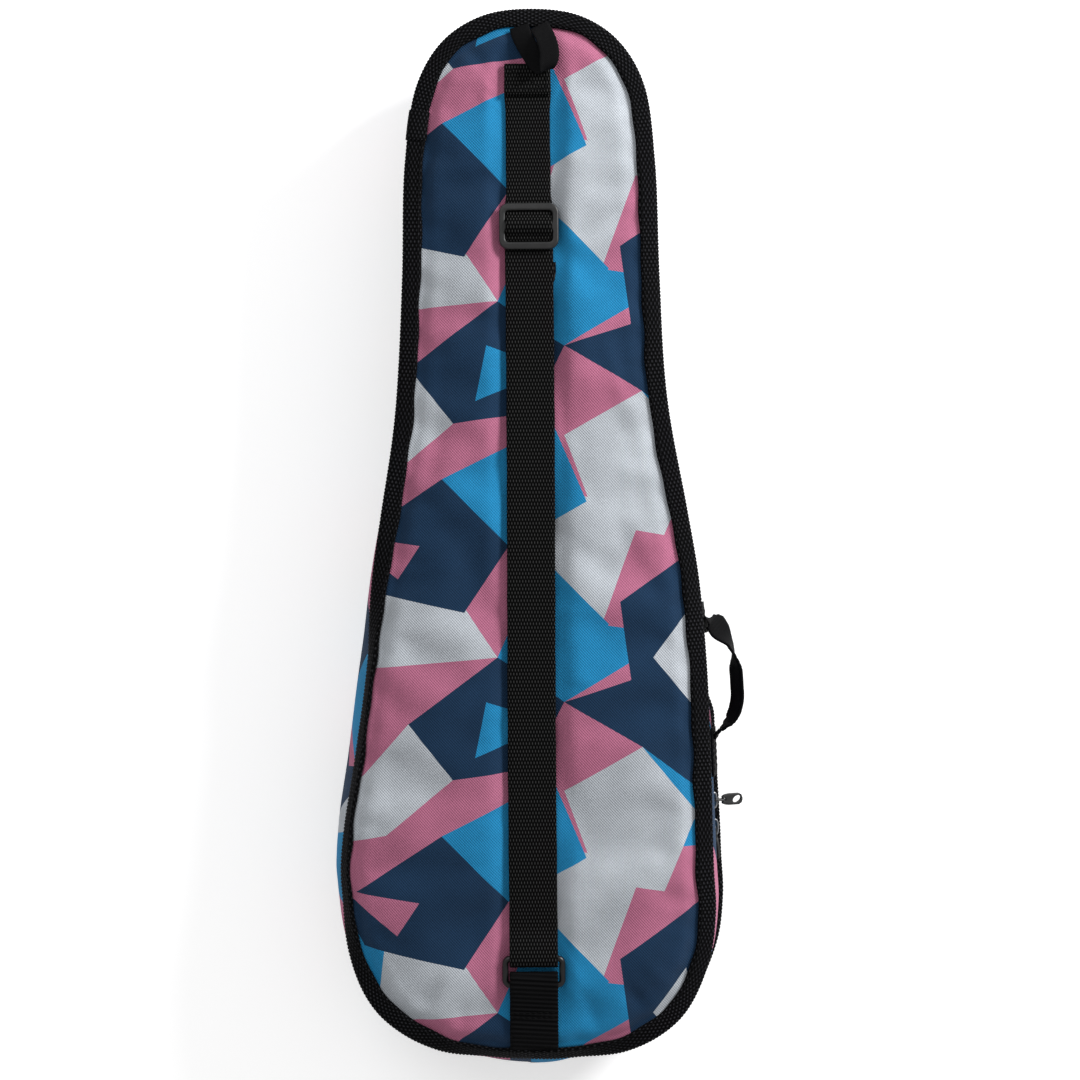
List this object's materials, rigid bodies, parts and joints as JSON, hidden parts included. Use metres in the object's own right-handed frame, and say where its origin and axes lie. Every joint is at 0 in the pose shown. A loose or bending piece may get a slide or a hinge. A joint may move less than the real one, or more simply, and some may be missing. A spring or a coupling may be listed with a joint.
{
  "type": "padded instrument gig bag",
  "caption": "Padded zip-round gig bag for a small waisted instrument, with a bound seam, adjustable back strap, carry handle and hang loop.",
  "frame": {"origin": "on the bag's centre line, in the plane of the front panel's outer face, which the bag lies on", "axes": "+Z from the front panel to the strap side, +Y from the body to the head, +X to the carry handle"},
  "size_m": [0.2289, 0.5777, 0.0867],
  "materials": {
    "printed_fabric": "woven polyester printed with an angular four-colour pattern",
    "foam": "closed-cell foam sheet",
    "lining": "plain woven nylon",
    "binding_tape": "ribbed woven tape",
    "zip_tape": "woven zip tape",
    "zip_coil": "nylon coil",
    "slider_metal": "grey enamelled die casting",
    "pull_plastic": "matt black",
    "webbing": "woven polypropylene webbing",
    "buckle_plastic": "moulded acetal",
    "ring_metal": "black enamelled steel wire"
  },
  "bodies": {
    "front_half": {"front_shell": "printed_fabric", "front_padding": "foam", "front_lining": "lining", "front_band_shell": "printed_fabric", "front_binding": "binding_tape", "front_zip_tape": "zip_tape", "front_zip_coil": "zip_coil", "front_hinge_strip": "printed_fabric"},
    "back_half": {"back_shell": "printed_fabric", "back_padding": "foam", "back_lining": "lining", "gusset_shell": "printed_fabric", "gusset_padding": "foam", "gusset_lining": "lining", "back_binding": "binding_tape", "back_zip_tape": "zip_tape", "back_zip_coil": "zip_coil", "back_hinge_strip": "printed_fabric", "back_strap": "webbing", "strap_return": "webbing", "strap_end_patch": "webbing", "ring_tab": "webbing", "handle_end_upper": "webbing", "handle_end_lower": "webbing"},
    "slider_a": {"zip_slider_a": "slider_metal"},
    "pull_a": {"zip_pull_a": "pull_plastic"},
    "slider_b": {"zip_slider_b": "slider_metal"},
    "pull_b": {"zip_pull_b": "pull_plastic"},
    "adjuster": {"strap_adjuster": "buckle_plastic", "adjuster_hump": "webbing"},
    "ring": {"strap_ring": "ring_metal", "strap_loop_end": "webbing"},
    "hang_loop": {"hang_loop": "binding_tape"},
    "carry_handle": {"carry_handle": "webbing"}
  },
  "joints": [
    {"name": "shell_open", "type": "hinge", "parent": "front_half", "child": "back_half", "pos_m": [-0.104, -0.186, 0.021], "axis": [-0.0922, -0.9957, 0], "range_deg": [0, 110]},
    {"name": "slider_a_slide", "type": "slide", "parent": "front_half", "child": "slider_a", "axis": [-0.0452, 0.999, 0], "range_m": [0, 0.04]},
    {"name": "pull_a_flip", "type": "hinge", "parent": "slider_a", "child": "pull_a", "pos_m": [0.10237, -0.14946, 0.01993], "axis": [0.3154, 0.0143, 0.9489], "range_deg": [-45, 80]},
    {"name": "slider_b_slide", "type": "slide", "parent": "front_half", "child": "slider_b", "axis": [-0.045, 0.999, 0], "range_m": [-0.012, 0]},
    {"name": "pull_b_flip", "type": "hinge", "parent": "slider_b", "child": "pull_b", "pos_m": [0.10305, -0.16449, 0.01993], "axis": [0.3154, 0.0142, 0.9489], "range_deg": [0, 110]},
    {"name": "adjuster_slide", "type": "slide", "parent": "back_half", "child": "adjuster", "axis": [-0.0068, 1, 0], "range_m": [-0.15, 0]},
    {"name": "ring_lift", "type": "hinge", "parent": "back_half", "child": "ring", "pos_m": [0.00165, -0.24209, 0.0777], "axis": [1, 0.0068, 0], "range_deg": [0, 30]},
    {"name": "hang_loop_flip", "type": "hinge", "parent": "back_half", "child": "hang_loop", "pos_m": [0, 0.2728, 0.0736], "axis": [-1, 0, 0], "range_deg": [0, 75]},
    {"name": "handle_swing", "type": "hinge", "parent": "back_half", "child": "carry_handle", "pos_m": [0.10118, -0.07965, 0.04093], "axis": [-0.0538, 0.9985, -0.0001], "range_deg": [-25, 25]}
  ]
}
